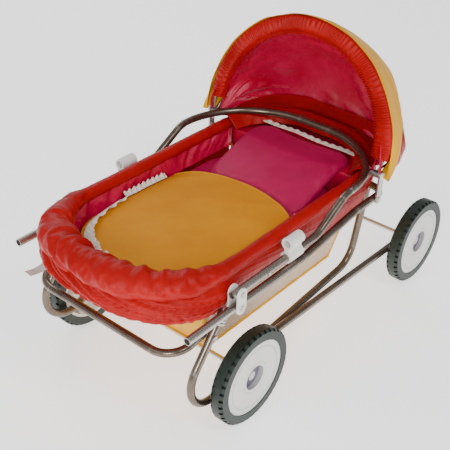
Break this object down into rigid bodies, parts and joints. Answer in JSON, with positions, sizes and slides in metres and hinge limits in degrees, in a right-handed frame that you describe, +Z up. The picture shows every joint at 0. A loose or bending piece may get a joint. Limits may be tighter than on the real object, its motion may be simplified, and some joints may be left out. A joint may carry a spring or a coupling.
{
  "type": "doll stroller",
  "caption": "Folding doll stroller with crossed tubular legs, a flip-over handle with lock sleeves, a soft bassinet, a folding hood and a mesh basket.",
  "frame": {"origin": "on the floor under the middle of the folded stroller's bounding box", "axes": "+X from the foot end towards the hood, +Y to the far side, +Z up; the stroller is symmetric about the plane Y = 0"},
  "size_m": [0.746, 0.382, 0.5082],
  "materials": {
    "tube": "satin taupe lacquer",
    "zinc": "bright zinc plate",
    "white_plastic": "moulded, slightly worn",
    "black_plastic": "moulded",
    "tyre": "moulded tread, very dark green",
    "hub": "moulded, semi gloss",
    "hood_wire": "drawn wire",
    "red_cloth": "woven polyester with a slight sheen",
    "pink_satin": "satin lining",
    "yellow_cloth": "woven polyester",
    "blanket_cloth": "brushed woven cloth",
    "mesh_cloth": "open knitted mesh",
    "lace": "cotton lace",
    "board": "plain fibreboard"
  },
  "bodies": {
    "frame": {"rail_near": "tube", "rail_far": "tube", "hood_cross_tube": "tube", "rail_rivets": "zinc", "hinge_plate_outer_near": "white_plastic", "hinge_plate_inner_near": "white_plastic", "hinge_plate_outer_far": "white_plastic", "hinge_plate_inner_far": "white_plastic", "hinge_bolts_lower": "zinc", "hinge_bolts_upper": "zinc", "hood_brackets": "tube", "hood_bracket_rivets": "zinc", "hood_pivot_bolts": "zinc", "hood_pivot_caps": "white_plastic", "hood_rear_bow": "hood_wire", "hood_canopy": "yellow_cloth", "bassinet_rim": "hood_wire", "bassinet_shell": "red_cloth", "base_board": "board", "mattress": "pink_satin", "blanket": "blanket_cloth", "pillow": "pink_satin", "basket": "yellow_cloth"},
    "handle": {"handle_tube": "tube", "stop_rivets": "zinc"},
    "lock_near": {"lock_sleeve_near": "white_plastic"},
    "lock_far": {"lock_sleeve_far": "white_plastic"},
    "long_legs": {"long_leg_near": "tube", "long_leg_far": "tube", "foot_cross_bar": "tube", "cross_bar_caps": "black_plastic", "cross_bar_bolts": "zinc", "hood_axle": "zinc", "hood_axle_washers": "white_plastic", "hood_axle_caps": "zinc"},
    "short_legs": {"short_leg_near": "tube", "short_leg_far": "tube", "foot_axle": "zinc", "foot_axle_washers": "white_plastic", "foot_axle_caps": "zinc"},
    "wheel_foot_near": {"tyre_foot_near": "tyre", "hub_foot_near": "hub"},
    "wheel_foot_far": {"tyre_foot_far": "tyre", "hub_foot_far": "hub"},
    "wheel_hood_near": {"tyre_hood_near": "tyre", "hub_hood_near": "hub"},
    "wheel_hood_far": {"tyre_hood_far": "tyre", "hub_hood_far": "hub"},
    "hood_front": {"hood_front_bow": "hood_wire", "hood_front_band": "red_cloth"},
    "hood_middle": {"hood_middle_bow": "hood_wire"}
  },
  "joints": [
    {"name": "handle_flip", "type": "hinge", "parent": "frame", "child": "handle", "pos_m": [-0.249, 0, 0.259], "axis": [0, -1, 0], "range_deg": [0, 180]},
    {"name": "lock_slide_near", "type": "slide", "parent": "handle", "child": "lock_near", "axis": [1, 0, 0], "range_m": [-0.045, 0]},
    {"name": "lock_slide_far", "type": "slide", "parent": "handle", "child": "lock_far", "axis": [1, 0, 0], "range_m": [-0.045, 0]},
    {"name": "leg_unfold", "type": "hinge", "parent": "frame", "child": "long_legs", "pos_m": [-0.249, 0, 0.235], "axis": [0, 1, 0], "range_deg": [0, 16]},
    {"name": "short_leg_unfold", "type": "hinge", "parent": "frame", "child": "short_legs", "pos_m": [0.147, 0, 0.253], "axis": [0, -1, 0], "range_deg": [0, 26.4]},
    {"name": "wheel_spin_foot_near", "type": "hinge", "parent": "short_legs", "child": "wheel_foot_near", "pos_m": [-0.213, -0.179, 0.082], "axis": [0, 1, 0], "continuous": true},
    {"name": "wheel_spin_foot_far", "type": "hinge", "parent": "short_legs", "child": "wheel_foot_far", "pos_m": [-0.213, 0.179, 0.082], "axis": [0, 1, 0], "continuous": true},
    {"name": "wheel_spin_hood_near", "type": "hinge", "parent": "long_legs", "child": "wheel_hood_near", "pos_m": [0.291, -0.179, 0.082], "axis": [0, 1, 0], "continuous": true},
    {"name": "wheel_spin_hood_far", "type": "hinge", "parent": "long_legs", "child": "wheel_hood_far", "pos_m": [0.291, 0.179, 0.082], "axis": [0, 1, 0], "continuous": true},
    {"name": "hood_fold", "type": "hinge", "parent": "frame", "child": "hood_front", "pos_m": [0.113, 0, 0.298], "axis": [0, 1, 0], "range_deg": [0, 60], "deforming": ["hood_canopy"]},
    {"name": "hood_middle_fold", "type": "hinge", "parent": "frame", "child": "hood_middle", "pos_m": [0.113, 0, 0.298], "axis": [0, 1, 0], "range_deg": [0, 36]}
  ],
  "couplings": [
    {"joint": "short_leg_unfold", "follows": "leg_unfold", "ratio": 1.65},
    {"joint": "hood_middle_fold", "follows": "hood_fold", "ratio": 0.6}
  ]
}
